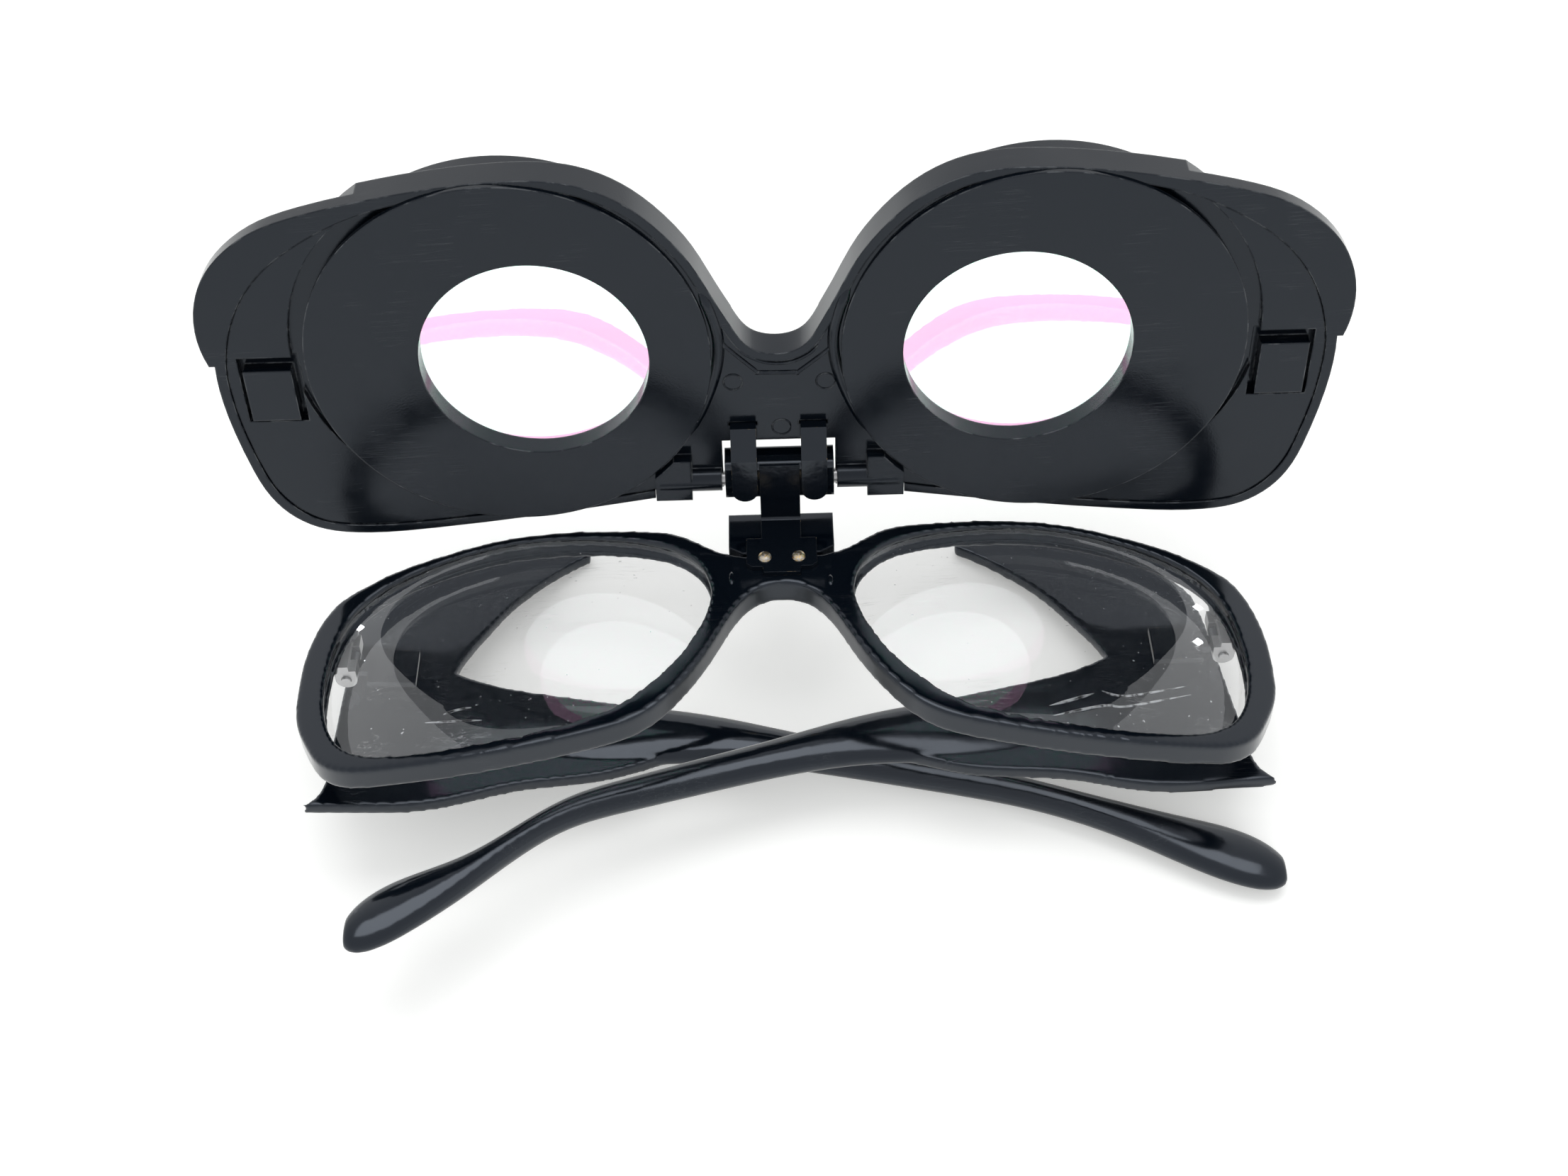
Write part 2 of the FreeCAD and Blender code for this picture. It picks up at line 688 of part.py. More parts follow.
def make_flip_cover():
    """Front moulding: thin wings, two deep cups with bosses, and a hollow bridge between them."""
    outline = body("cover_outline")
    pad(outline, flip_loop(FLIP_EDGE, FLIP_SIDE), "Sizes.cup_depth + 10")
    wings = box("wing_slab", (-100, -80, 0), (200, 120, 1))
    bind(wings, Height="Sizes.wing_depth")
    bridge = box("cover_bridge", (-12, -40, 0), (24, 34, size("cup_depth") - 0.2))
    stock = [wings, bridge]
    bosses = []
    for side in SIDES.values():
        x, y = cup_centre(side)
        stock.append(cylinder("cup_wall", (x, y, 0), (0, 0, 1), "Sizes.cup_radius",
                              "Sizes.cup_depth"))
        bosses.append(cylinder("cup_boss", (x, y, 2), (0, 0, 1),
                               "Sizes.filter_radius + Sizes.lens_clearance + Sizes.boss_wall",
                               "Sizes.cup_depth + Sizes.boss_height - 2"))
    moulded = fuse("cover_moulded", common("cover_trimmed", outline, fuse("cover_stock", *stock)),
                   *bosses)
    plate_seat = back_plate_stock("back_plate_seat", "Sizes.back_plate + Sizes.back_step + 1.02", "-1",
                                  1.5 * size("seat_clearance"))
    half = size("window_width") / 2
    clip_room = box("clip_room", (-half - 0.2, -19.6, 0), (2 * half + 0.4, 30, 3.6))
    slot = box("window_slot", (-half, -size("window_top"), -5), (2 * half, 40, 30))
    lug_room = [box("lug_room", (left, -5, -5), (right - left, 20, 5.07 + lug_top()))
                for left, right in both_sides(half, size("pin_length") / 2 + 1.8)]
    cores = [cup_core("cup_core_%s" % name, side) for name, side in SIDES.items()]
    opened = cut("cover_opened", moulded, fuse("cover_cuts", plate_seat, clip_room, slot, *lug_room,
                                                *cores))
    near, low, far, high = CATCH
    catches = [box("catch", (left, -high, -0.25), (right - left, high - low, 2.4))
               for left, right in both_sides(near * flip_width_factor(),
                                             far * flip_width_factor())]
    keep("flip_cover", fuse("flip_cover", opened, *catches), "flip")


def make_aperture_disc(name, side):
    """Flanged disc pressed in behind the lens, its sight hole set towards the nose."""
    x, y = cup_centre(side)
    level = -0.03 - size("disc_flange")
    made = body("aperture_disc_" + name)
    pad(made, circle(x, y, size("disc_radius")), "Sizes.disc_flange", str(level))
    pad(made, circle(x, y, size("spigot_radius")), "Sizes.disc_thickness", str(level))
    pocket(made, circle(x - side * size("aperture_inset"), y, size("aperture_radius")), "20", "-8")
    keep("aperture_disc_" + name, made, "flip")


def ring_of(label, x, y, level, height, outer, inner):
    made = body(label)
    pad(made, circle(x, y, outer) + circle(x, y, inner), str(height), str(level))
    return made


def make_glass(name, side):
    """Gasket, filter lens, cover glass and second gasket, stacked from the shelf outwards."""
    x, y = cup_centre(side)
    gap = 0.02
    level = stack_level()
    rim = size("filter_radius") - 0.1
    gasket_thick = size("gasket_thickness")
    inner_gasket = ring_of("gasket_inner", x, y, level, gasket_thick, rim,
                           size("lens_sight_radius"))
    level += gasket_thick + gap
    filter_lens = body("filter_lens_" + name)
    pad(filter_lens, circle(x, y, size("filter_radius")), "Sizes.filter_thickness", str(level))
    level += size("filter_thickness") + gap
    glass = body("cover_glass_" + name)
    pad(glass, circle(x, y, size("filter_radius")), "Sizes.cover_glass_thickness", str(level))
    level += size("cover_glass_thickness") + gap
    outer_gasket = ring_of("gasket_outer", x, y, level, gasket_thick, rim,
                           size("lens_sight_radius"))
    gaskets = doc.addObject("Part::Compound", "lens_gaskets_" + name)
    gaskets.Links = [inner_gasket, outer_gasket]
    keep("filter_lens_" + name, filter_lens, "flip")
    keep("cover_glass_" + name, glass, "flip")
    keep("lens_gaskets_" + name, gaskets, "flip")
    return level + gasket_thick + gap


def make_lens_ring(name, side, lip_level):
    """Ring that screws over the cup's boss and holds the glass in."""
    x, y = cup_centre(side)
    base = size("cup_depth") + 0.1
    bore = size("filter_radius") + size("lens_clearance") + size("boss_wall") + 0.06
    top = lip_level + size("ring_lip")
    outer = bore + size("ring_wall")
    made = body("lens_ring_" + name)
    revolve(made, [(bore, base), (outer, base), (outer, top - 0.8), (outer - 0.8, top),
                   (size("lens_sight_radius"), top), (size("lens_sight_radius"), lip_level),
                   (bore, lip_level)])
    made.Placement.Base = Vector(x, y, 0)
    keep("lens_ring_" + name, made, "flip")


def ribbon(points, thickness):
    """Closed outline of a bent strip drawn about its centre line, with mitred bends."""
    half = thickness / 2
    normals = []
    for (ax, ay), (bx, by) in zip(points, points[1:]):
        length = math.hypot(bx - ax, by - ay)
        normals.append((-(by - ay) / length, (bx - ax) / length))
    one_side, other_side = [], []
    for i, (x, y) in enumerate(points):
        first = normals[max(i - 1, 0)]
        second = normals[min(i, len(normals) - 1)]
        reach = half / (1 + first[0] * second[0] + first[1] * second[1])
        dx = (first[0] + second[0]) * reach
        dy = (first[1] + second[1]) * reach
        one_side.append((x + dx, y + dy))
        other_side.append((x - dx, y - dy))
    return one_side + other_side[::-1]


def make_spring_clip():
    """Sheet spring on the flip: two prongs come through the plate and bear on the cam."""
    sheet_thick = size("sheet")
    behind = size("back_step") + size("back_plate") + sheet_thick / 2 + 0.02
    clear_of_cam = math.sqrt(2) * (size("cam_side") / 2 - size("cam_round")) + size("cam_round")
    bearing = -(clear_of_cam + 0.12 + sheet_thick / 2)
    bent = body("clip_bent")
    path = [(-12, behind), (-CLIP_SLOT, behind), (-CLIP_SLOT, -1.2), (-5.6, bearing),
            (1.7, bearing)]
    for left, right in both_sides(PRONG_INNER, PRONG_OUTER):
        pad(bent, polygon(ribbon(path, sheet_thick)), str(right - left), str(left),
            role="YZ_Plane")
    trim = body("clip_trim")
    for left, right in both_sides(PRONG_INNER, PRONG_OUTER):
        radius = (right - left) / 2
        centre = (left + right) / 2
        tip = 1.7
        pad(trim, [Part.LineSegment(Vector(left, -20, 0), Vector(right, -20, 0)),
                   Part.LineSegment(Vector(right, -20, 0), Vector(right, tip - radius, 0)),
                   Part.Arc(Vector(right, tip - radius, 0), Vector(centre, tip, 0),
                            Vector(left, tip - radius, 0)),
                   Part.LineSegment(Vector(left, tip - radius, 0), Vector(left, -20, 0))],
            "20", "-10")
    plate = box("clip_plate", (-PRONG_OUTER - 0.3, -18.6, behind - sheet_thick / 2),
                (2 * PRONG_OUTER + 0.6, 18.6 - CLIP_SLOT - 0.25, sheet_thick))
    keep("spring_clip", fuse("spring_clip", plate, common("clip_prongs", bent, trim)), "flip")


# ---------------------------------------------------------------- temples

SHIELD_FOOT = [(-3.8, -30.4), (5, -30.2), (13.9, -29.4), (20, -27.6), (25.5, -25.8), (32, -24.6),
               (39, -23.2), (45, -20.9), (50, -18.6)]
SHIELD_ARM = [(50, -12.0), (40.3, -9.9), (30, -8.4), (22, -6.9), (15.6, -4.4)]
SHIELD_REAR = [(15.6, -4.4), (17, -0.6), (19.6, 4.2), (22.4, 9.0), (26, 13.6), (30, 17.6),
               (34.6, 21.2)]
SHIELD_TOP = [(34.6, 21.2), (34.3, 22.4), (31.5, 22.7), (20, 20.3), (10, 16.3), (4, 11.5),
              (0.4, 6)]
SHIELD_FRONT = [(0.4, 6), (-0.2, 0), (-0.6, -12), (-0.9, -22), (-1.05, -26), (-1.8, -28.4),
                (-3.8, -30.4)]
# along the temple, across, half width, half thickness
ROD = [(22, -15.5, 7.0, 0.9), (34, -15.6, 6.6, 1.4), (46, -15.4, 5.2, 1.9), (57, -16.1, 4.0, 2.1),
       (67, -17.8, 3.2, 2.1), (77, -19.7, 2.9, 2.1), (87, -21.7, 2.65, 2.1), (97, -23.9, 2.45, 2.1),
       (106, -26.6, 2.5, 2.1), (115, -30.0, 3.3, 2.1), (123, -33.3, 4.5, 2.1),
       (129, -35.5, 4.9, 2.0), (133, -36.9, 4.0, 1.8), (135.2, -37.6, 2.2, 1.2)]
ROD_DRAWN_LENGTH = 135.5
TIP_BEND = (96.0, 117.0)
DRAW_START = 90.0
DROOP_PIVOT = -20.0


def temple_point(side, along, up):
    """Local X and Y of a point drawn for the left temple; the right one droops and bends more."""
    if side == LEFT:
        reach, rise = along, up
    else:
        start, end = TIP_BEND
        part = min(max((along - start) / (end - start), 0.0), 1.0)
        bend = size("right_tip_drop") * part * part * (3 - 2 * part)
        drawn = max(along - DRAW_START, 0.0) / (ROD_DRAWN_LENGTH - DRAW_START)
        reach = along - size("right_tip_draw") * drawn
        droop = math.radians(size("right_droop"))
        above = up - bend - DROOP_PIVOT
        rise = DROOP_PIVOT - along * math.tan(droop) + above * math.cos(droop)
        reach += above * math.sin(droop)
    return -side * reach * size("temple_length") / ROD_DRAWN_LENGTH, rise


def temple_points(side, points):
    return [temple_point(side, along, up) for along, up in points]


def make_temple(name, side):
    """One moulding: side shield, arm, thin rod and paddle-shaped tip."""
    shield = body("shield_" + name)
    outline = [temple_points(side, stretch) for stretch in
               (SHIELD_FOOT, [SHIELD_FOOT[-1], SHIELD_ARM[0]], SHIELD_ARM, SHIELD_REAR, SHIELD_TOP,
                SHIELD_FRONT)]
    pad(shield, runs(*outline), "Sizes.shield_thickness",
        "-Sizes.shield_drop - Sizes.shield_thickness")
    middle_z = -size("shield_drop") - size("shield_thickness") / 2 + 0.1
    thick = size("rod_thickness") / 4.2
    sections = []
    for along, across, half_width, half_thick in ROD:
        ring = doc.addObject("Part::Ellipse", "rod_section")
        ring.MajorRadius = half_width
        ring.MinorRadius = half_thick * thick
        place = Vector(*temple_point(side, along, across), middle_z)
        ring.Placement = Placement(place, Rotation(Vector(0, 1, 0), Vector(0, 0, 1),
                                                   Vector(1, 0, 0), "ZXY"))
        sections.append(ring)
    rod = doc.addObject("Part::Loft", "rod_" + name)
    rod.Sections = sections
    rod.Solid = True
    keep("temple_" + name, fuse("temple_" + name, shield, rod), "temple_" + name)


def make_temple_leaf(name, side):
    """Centre knuckle and its plate, let down on the inner face of the temple."""
    length = size("knuckle_length")
    down = -size("end_hinge_down")
    floor = -size("shield_drop")
    barrel = knuckle("temple_knuckle", down, length)
    parts = [barrel]
    for near, far, width in ((0.0, 10.0, length), (2.8, 10.0, 6.4)):
        left, right = sorted((-side * near, -side * far))
        parts.append(box("temple_leaf_plate", (left, down - width / 2, floor),
                         (right - left, width, 1.0)))
    bore = cylinder("temple_bore", (0, -40, 0), (0, 1, 0),
                    "Sizes.screw_radius + Sizes.running_clearance", "80")
    keep("temple_hinge_leaf_" + name, cut("temple_hinge_leaf_" + name,
                                          fuse("temple_leaf_" + name, *parts), bore),
         "temple_" + name)


# ---------------------------------------------------------------- assembly

def group_placements():
    """Where each moving group stands relative to the front frame."""
    places = {"front": Placement(),
              "flip": Placement(Vector(0, size("hinge_up"), size("hinge_out")),
                                Rotation(Vector(1, 0, 0), -size("flip_open")))}
    slack = {"left": size("left_fold_slack"), "right": -size("right_fold_slack")}
    for name, side in SIDES.items():
        places["temple_" + name] = Placement(
            Vector(side * size("end_hinge_half"), 0, -size("end_hinge_back")),
            Rotation(Vector(0, 1, 0), slack[name]))
    return places


def place_pieces():
    """Stand the folded goggles on Z = 0 with their box centred on the origin."""
    tilt = Placement(Vector(), Rotation(Vector(1, 0, 0), size("rest_pitch"))
                     .multiply(Rotation(Vector(0, 1, 0), size("rest_roll"))))
    places = group_placements()
    for made, group in pieces.values():
        made.Placement = tilt.multiply(places[group]).multiply(made.Placement)
    doc.recompute()
    boxes = [made.Shape.optimalBoundingBox(True, False) for made, _ in pieces.values()]
    low = Vector(*[min(getattr(b, axis + "Min") for b in boxes) for axis in "XYZ"])
    high = Vector(*[max(getattr(b, axis + "Max") for b in boxes) for axis in "XYZ"])
    lift = Placement(Vector(-(low.x + high.x) / 2, -(low.y + high.y) / 2, -low.z), Rotation())
    for made, _ in pieces.values():
        made.Placement = lift.multiply(made.Placement)
    doc.recompute()
    return lift.multiply(tilt)


def check_document():
    for item in doc.Objects:
        if "Invalid" in item.State or "Error" in item.State:
            raise ValueError("%s did not build" % item.Label)
    for name, (made, _) in pieces.items():
        if made.Shape.isNull() or not made.Shape.isValid():
            raise ValueError("%s has no valid shape" % name)


def build():
    make_front_frame()
    for name, side in SIDES.items():
        make_front_leaf(name, side)
        make_hinge_screw(name, side)
    make_bracket()
    make_rivets()
    make_backing_plate()
    make_bridge_block()
    make_cam()
    make_flip_back()
    make_flip_cover()
    make_spring_clip()
    for name, side in SIDES.items():
        make_aperture_disc(name, side)
        make_lens_ring(name, side, make_glass(name, side))
        make_temple(name, side)
        make_temple_leaf(name, side)
    doc.recompute()


def write_pieces():
    os.makedirs("parts", exist_ok=True)
    for name, (made, _) in pieces.items():
        made.Shape.exportStep("parts/%s.step" % name)


def describe(seat):
    """Print each sub-part and the hinge axes in the part's own frame."""
    for name, (made, group) in pieces.items():
        print("%-26s %-13s %d solid(s) %9.1f mm3" % (name, group, len(made.Shape.Solids),
                                                     made.Shape.Volume))
    places = group_placements()
    print("seat", seat)
    for group, place in places.items():
        whole = seat.multiply(place)
        print("axis of", group, [round(v, 4) for v in whole.Base],
              [round(v, 5) for v in whole.Rotation.multVec(Vector(1, 0, 0))],
              [round(v, 5) for v in seat.Rotation.multVec(Vector(0, 1, 0))])


if __name__ == "__main__":
    build()
    seat_placement = place_pieces()
    check_document()
    write_pieces()
    describe(seat_placement)
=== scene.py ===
import json
import math

import bmesh
import bpy
import numpy as np
from bpy.props import FloatProperty, FloatVectorProperty, PointerProperty
from mathutils import Matrix, Vector


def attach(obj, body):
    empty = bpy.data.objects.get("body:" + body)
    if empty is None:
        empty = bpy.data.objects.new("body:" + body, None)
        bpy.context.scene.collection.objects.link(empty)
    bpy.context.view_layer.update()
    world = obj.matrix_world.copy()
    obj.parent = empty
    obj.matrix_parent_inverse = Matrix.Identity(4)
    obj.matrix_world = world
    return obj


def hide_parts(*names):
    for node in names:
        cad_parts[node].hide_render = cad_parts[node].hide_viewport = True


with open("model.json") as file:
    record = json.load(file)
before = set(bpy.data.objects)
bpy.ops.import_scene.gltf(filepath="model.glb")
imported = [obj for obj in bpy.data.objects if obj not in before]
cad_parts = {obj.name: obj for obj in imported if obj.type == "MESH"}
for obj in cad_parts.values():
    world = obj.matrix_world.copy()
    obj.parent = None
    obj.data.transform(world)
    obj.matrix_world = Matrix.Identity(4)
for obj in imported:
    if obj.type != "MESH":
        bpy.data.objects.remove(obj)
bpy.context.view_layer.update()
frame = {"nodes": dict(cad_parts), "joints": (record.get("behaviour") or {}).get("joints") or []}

bl_info = {
    "name": "Flip-front goggles",
    "version": (1, 0, 0),
    "blender": (4, 5, 0),
    "location": "View3D > Sidebar > Goggles",
    "description": "Finishes, rounded mouldings and studio for flip-front welding goggles",
    "category": "Object",
}

MM = 0.001
SIDES = {"left": -1, "right": 1}


# ---------------------------------------------------------------- the frame's own axes

def joint(name):
    return next(j for j in frame["joints"] if j["name"] == name)


ACROSS = Vector(joint("flip_hinge")["axis"]).normalized()
UP_FACE = Vector(joint("temple_left_fold")["axis"]).normalized()
OUTWARD = ACROSS.cross(UP_FACE)
HINGE = Vector(joint("flip_hinge")["pos_m"])
# The hinge's place from the bridge in mm, and the raised flip's turn from shut in degrees.
HINGE_UP, HINGE_OUT = 11.0, 6.3
RAISED_TURN = 93.0
BRIDGE = HINGE - (UP_FACE * HINGE_UP + OUTWARD * HINGE_OUT) * MM
FRONT_AXES = Matrix((ACROSS, UP_FACE, OUTWARD)).transposed().to_4x4()
FRONT_PLACE = Matrix.Translation(BRIDGE) @ FRONT_AXES
FLIP_PLACE = (Matrix.Translation(HINGE) @ FRONT_AXES
              @ Matrix.Rotation(math.radians(-RAISED_TURN), 4, "X"))


# ---------------------------------------------------------------- settings

class GogglesSizes(bpy.types.PropertyGroup):
    """Radii of the edges that the finishes shade as rounded."""

    moulding_round: FloatProperty(name="Moulding edge", description="Edge radius of the mouldings",
                                  default=0.35 * MM, unit="LENGTH")
    metal_round: FloatProperty(name="Metal edge", description="Edge radius of the metal pieces",
                               default=0.08 * MM, unit="LENGTH")


class GogglesColours(bpy.types.PropertyGroup):
    """Colours of the finishes."""

    moulding: FloatVectorProperty(name="Moulding", description="Black moulded plastic",
                                  default=(0.001, 0.0025, 0.005), subtype="COLOR")
    scuff: FloatVectorProperty(name="Scuff", description="Rubbed edges and fine scratches",
                               default=(0.16, 0.17, 0.175), subtype="COLOR")
    nickel: FloatVectorProperty(name="Nickel", description="Plating on the bracket and clip",
                                default=(0.5, 0.48, 0.45), subtype="COLOR")
    brass: FloatVectorProperty(name="Brass", description="Brass where the plating is worn",
                               default=(0.6, 0.43, 0.2), subtype="COLOR")
    pass_tint: FloatVectorProperty(name="Passed light", description="Light the filter lens passes",
                                   default=(1.0, 0.74, 0.9), subtype="COLOR")
    turned_tint: FloatVectorProperty(name="Reflected light",
                                     description="Light the filter lens's coating reflects",
                                     default=(0.02, 0.6, 0.3), subtype="COLOR")
    floor: FloatVectorProperty(name="Floor", description="Table top",
                               default=(0.9, 0.9, 0.89), subtype="COLOR")


# ---------------------------------------------------------------- shader helpers

class Wire:
    """A shader socket that adds Math nodes when it is used in an expression."""

    def __init__(self, finish, socket):
        self.finish = finish
        self.socket = socket

    def maths(self, operation, first, second=0.0):
        return self.finish.node("ShaderNodeMath", {"operation": operation}, {0: first, 1: second})

    def __add__(self, other):
        return self.maths("ADD", self, other)

    def __radd__(self, other):
        return self.maths("ADD", other, self)

    def __sub__(self, other):
        return self.maths("SUBTRACT", self, other)

    def __rsub__(self, other):
        return self.maths("SUBTRACT", other, self)

    def __mul__(self, other):
        return self.maths("MULTIPLY", self, other)

    def __rmul__(self, other):
        return self.maths("MULTIPLY", other, self)

    def __abs__(self):
        return self.maths("ABSOLUTE", self)

    def clamped(self):
        return self.maths("MAXIMUM", self.maths("MINIMUM", self, 1.0), 0.0)

    def over(self, start, end):
        """0 below start, 1 above end, and a smooth climb between them."""
        return self.finish.node("ShaderNodeMapRange", {"interpolation_type": "SMOOTHSTEP"},
                                {"Value": self, "From Min": start, "From Max": end})


class Finish:
    """One procedural material, or the world's background, and the nodes in it."""

    def __init__(self, name, world=None):
        self.owner = world or bpy.data.materials.new(name)
        self.owner.use_nodes = True
        self.tree = self.owner.node_tree
        self.tree.nodes.clear()
        kind = "ShaderNodeOutputWorld" if world else "ShaderNodeOutputMaterial"
        self.output = self.tree.nodes.new(kind)
        self.place = None

    def node(self, kind, settings=None, inputs=None, output=0):
        made = self.tree.nodes.new(kind)
        for key, value in (settings or {}).items():
            setattr(made, key, value)
        for key, value in (inputs or {}).items():
            self.feed(made.inputs[key], value)
        return Wire(self, made.outputs[output])

    def feed(self, socket, value):
        if isinstance(value, Wire):
            self.tree.links.new(value.socket, socket)
        elif socket.type == "RGBA" and len(value) == 3:
            socket.default_value = (*value, 1.0)
        else:
            socket.default_value = value

    def position(self):
        """Place on the piece, in millimetres, which moves with it."""
        if self.place is None:
            raw = self.node("ShaderNodeTexCoord", output="Object")
            self.place = self.node("ShaderNodeVectorMath", {"operation": "SCALE"},
                                   {0: raw, "Scale": 1 / MM})
        return self.place

    def noise(self, per_mm, detail=3.0, rough=0.5, stretch=None):
        where = self.position()
        if stretch is not None:
            where = self.node("ShaderNodeMapping", None, {"Vector": where, "Scale": stretch})
        return self.node("ShaderNodeTexNoise", None,
                         {"Vector": where, "Scale": per_mm, "Detail": detail, "Roughness": rough})

    def mixed(self, amount, first, second):
        """Colour between two others."""
        return self.node("ShaderNodeMix", {"data_type": "RGBA"},
                         {"Factor": amount, 6: first, 7: second}, output=2)

    def rounded_normal(self, radius):
        return self.node("ShaderNodeBevel", {"samples": 4}, {"Radius": radius})

    def edge_mask(self, rounded, start, end):
        """1 along edges, where the rounded normal leaves the flat one."""
        flat = self.node("ShaderNodeNewGeometry", output="Normal")
        along = self.node("ShaderNodeVectorMath", {"operation": "DOT_PRODUCT"},
                          {0: rounded, 1: flat}, output="Value")
        return (1.0 - along).over(start, end)

    def bump(self, height, depth, normal=None):
        inputs = {"Height": height, "Distance": depth, "Strength": 1.0}
        if normal is not None:
            inputs["Normal"] = normal
        return self.node("ShaderNodeBump", None, inputs)

    def principled(self, **inputs):
        named = {key.replace("_", " "): value for key, value in inputs.items()}
        return self.node("ShaderNodeBsdfPrincipled", None, named)

    def surface(self, shader):
        self.feed(self.output.inputs["Surface"], shader)
        return self.owner


def sizes():
    return bpy.context.scene.goggles_sizes


def colours():
    return bpy.context.scene.goggles_colours


def scratches(finish, per_mm, keep):
    """Fine, sparse, nearly straight lines in two directions."""
    total = None
    for turn in (0.4, 2.1):
        turned = finish.node("ShaderNodeMapping", None,
                             {"Vector": finish.position(), "Rotation": (turn, 0.6 * turn, turn),
                              "Scale": (0.02, 1.0, 1.0)})
        fine = finish.node("ShaderNodeTexNoise", None,
                           {"Vector": turned, "Scale": per_mm, "Detail": 2.0})
        patches = finish.noise(0.06 + 0.02 * turn, 2.0)
        line = (1.0 - abs(fine - 0.5) * 60.0).clamped() * patches.over(keep, keep + 0.12)
        total = line if total is None else total + line
    return total.clamped()


GLOSS_TINT = (0.78, 0.86, 0.98, 1.0)
# Pale crest colour of the shield ridges: partly rubbed wear, partly a painted highlight.
CREST_WEAR_AND_PAINTED_HIGHLIGHT = (0.5, 0.52, 0.54)
STEEL_DARK, STEEL_LIGHT = (0.42, 0.42, 0.43), (0.58, 0.58, 0.58)
LENS_TINT = (0.96, 0.98, 1.0)
RUBBER = (0.012, 0.012, 0.012)
LEAN_TO_NOSE, LEAN_DOWN = math.radians(7.5), math.radians(3.1)


def moulded_plastic(name, shine, gloss, grain, wear):
    """Black moulded plastic: slight waviness, dull smudges, hairline scratches, rubbed edges."""
    finish = Finish(name)
    rounded = finish.rounded_normal(sizes().moulding_round)
    rub = finish.edge_mask(rounded, 0.02, 0.2) * finish.noise(0.35, 4.0).over(0.45, 0.62) * wear
    hair = scratches(finish, 2.2, 0.56) * 0.5
    colour = finish.mixed((rub + hair * 0.25).clamped(), colours().moulding, colours().scuff)
    smudge = finish.noise(0.05, 4.0, 0.6).over(0.42, 0.66)
    rough = gloss + 0.1 * smudge + 0.25 * rub + 0.1 * hair
    wave = finish.noise(0.09, 1.0)
    pores = finish.noise(3.5, 2.0)
    normal = finish.bump(wave, 0.09 * MM, rounded)
    normal = finish.bump(pores, grain * MM, normal)
    return finish.surface(finish.principled(Base_Color=colour, Roughness=rough, IOR=shine,
                                            Specular_Tint=GLOSS_TINT, Normal=normal))


def coated_metal(name):
    """Glossy black coat on sheet brass, rubbed through at the sharpest edges."""
    finish = Finish(name)
    rounded = finish.rounded_normal(sizes().metal_round)
    edge = finish.edge_mask(rounded, 0.12, 0.4)
    patch = finish.noise(0.7, 4.0).over(0.56, 0.62)
    bare = (edge * patch).clamped()
    colour = finish.mixed(bare, colours().moulding, colours().brass)
    rough = 0.14 + 0.1 * finish.noise(1.5, 3.0) + 0.2 * bare
    normal = finish.bump(finish.noise(0.5, 2.0), 0.05 * MM, rounded)
    return finish.surface(finish.principled(Base_Color=colour, Metallic=bare, Roughness=rough,
                                            Specular_Tint=GLOSS_TINT, Normal=normal))


def ridge_wear_and_painted_highlight(name):
    """Moulded ridge whose crest is painted pale in patches: partly rubbed wear, partly a painted
    highlight standing in for the light the crest catches.
    """
    finish = Finish(name)
    pale = finish.noise(0.8, 3.0).over(0.4, 0.6)
    colour = finish.mixed(pale, colours().moulding, CREST_WEAR_AND_PAINTED_HIGHLIGHT)
    return finish.surface(finish.principled(Base_Color=colour, Roughness=0.2 + 0.2 * pale))


def rivet_metal(name):
    finish = Finish(name)
    grain = finish.noise(2.5, 3.0)
    colour = finish.mixed(grain.over(0.35, 0.65), colours().brass, colours().nickel)
    return finish.surface(finish.principled(Base_Color=colour, Metallic=1.0,
                                            Roughness=0.25 + 0.15 * grain,
                                            Normal=finish.bump(grain, 0.04 * MM)))


def steel(name):
    finish = Finish(name)
    rounded = finish.rounded_normal(sizes().metal_round)
    grain = finish.noise(5.0, 3.0, stretch=(0.2, 1.0, 1.0))
    colour = finish.mixed(grain, STEEL_DARK, STEEL_LIGHT)
    return finish.surface(finish.principled(Base_Color=colour, Metallic=1.0,
                                            Roughness=0.28 + 0.15 * grain, Normal=rounded))


def clear_sheet(name, shine, marks):
    """Clear sheet: the surface reflects and everything else passes straight through."""
    finish = Finish(name)
    inside = finish.node("ShaderNodeNewGeometry", output="Backfacing")
    mirror = finish.node("ShaderNodeFresnel", None, {"IOR": shine + inside * (1 / shine - shine)})
    hair = scratches(finish, 1.6, 0.52)
    dust = finish.noise(1.3, 2.0).over(0.74, 0.78)
    mark = (hair * 0.35 + dust).clamped() * marks
    alpha = (mirror + mark * 0.5).clamped()
    rough = 0.015 + 0.4 * mark
    return finish.surface(finish.principled(Base_Color=LENS_TINT, Metallic=1.0,
                                            Roughness=rough, Alpha=alpha))


